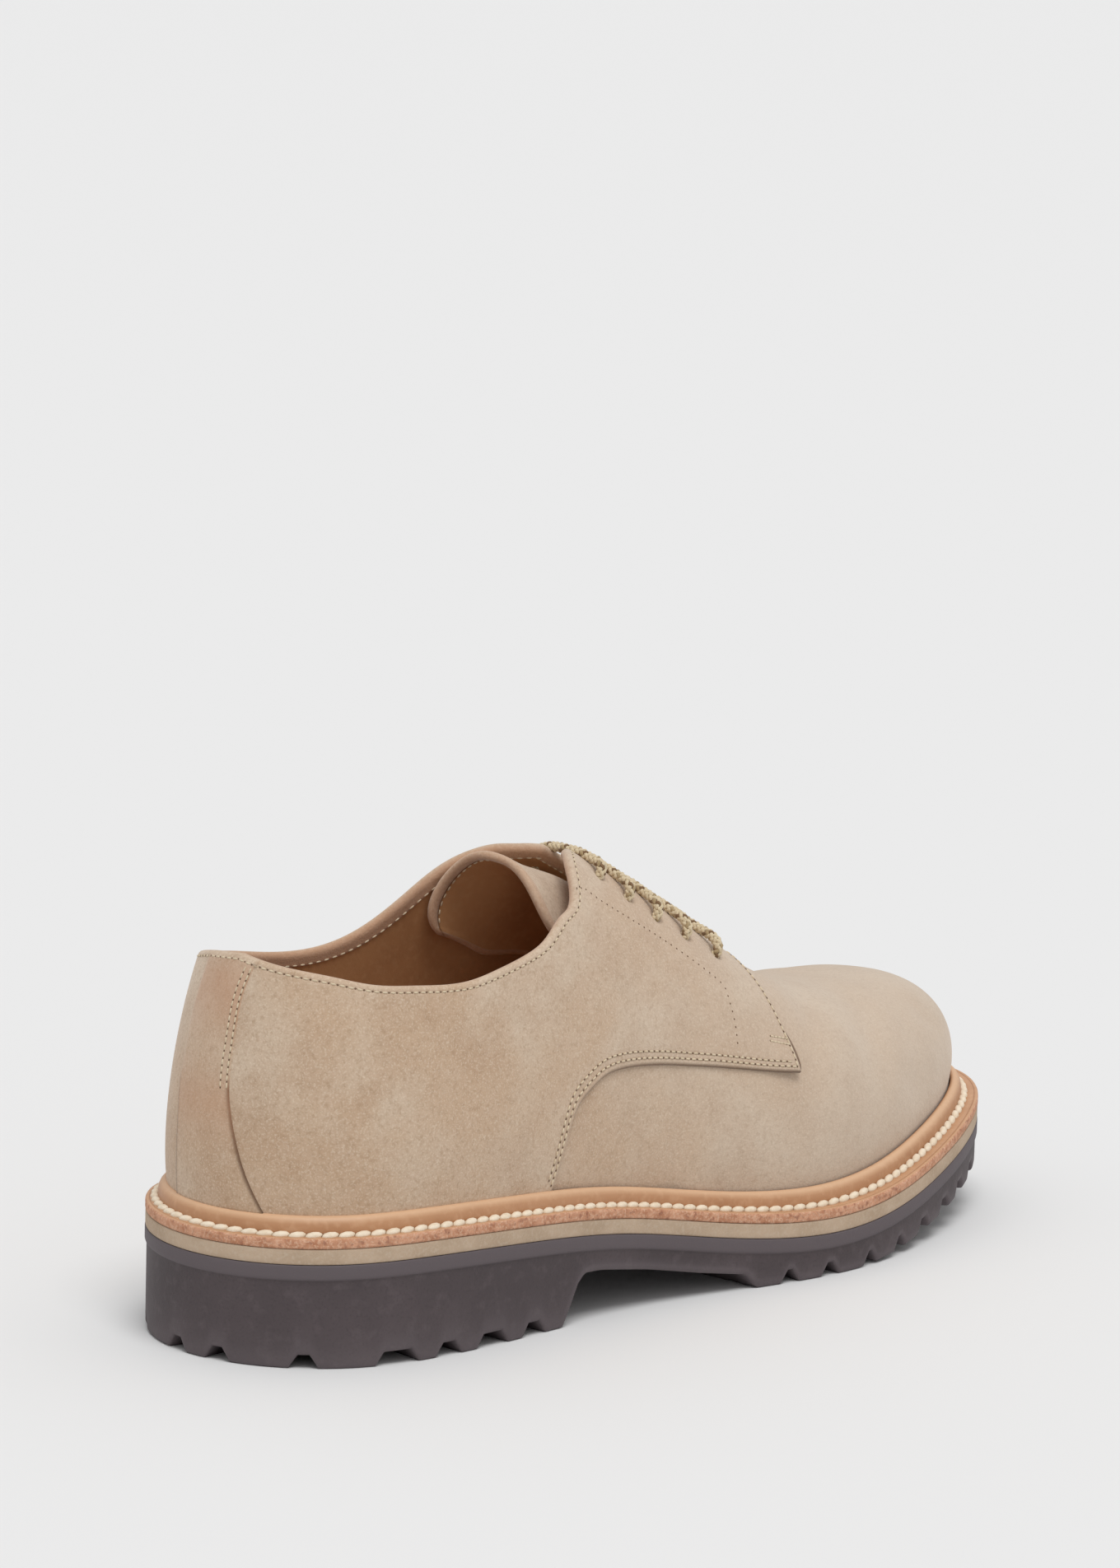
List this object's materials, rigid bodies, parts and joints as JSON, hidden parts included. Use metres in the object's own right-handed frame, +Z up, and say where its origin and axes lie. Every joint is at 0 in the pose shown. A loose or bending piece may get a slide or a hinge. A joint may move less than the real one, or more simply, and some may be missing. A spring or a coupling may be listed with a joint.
{
  "type": "derby shoe",
  "caption": "Low lace-up derby shoe for the right foot: suede upper open at the collar, ribbed tan welt, pale midsole and a thick lugged rubber sole with a heel.",
  "frame": {"origin": "centre of the bounding box's bottom face, on the floor", "axes": "+X towards the toe, +Y towards the inner (big toe) side, +Z up"},
  "size_m": [0.302, 0.1114, 0.1219],
  "materials": {
    "outsole_rubber": "matt dark brown rubber with a smooth band along its top edge",
    "midsole_layer": "matt beige layer",
    "welt_leather": "natural tan leather, smooth rib and rough cut edge",
    "upper_suede": "sand suede with a short soft nap",
    "tongue_suede": "sand suede outside, tan lining inside",
    "insole_leather": "smooth tan leather",
    "lace_cord": "round braided cord, cream flecked with brown"
  },
  "bodies": {
    "root": {"outsole": "outsole_rubber", "midsole": "midsole_layer", "welt": "welt_leather", "upper": "upper_suede", "tongue": "tongue_suede", "insole": "insole_leather", "lace": "lace_cord"}
  },
  "joints": []
}
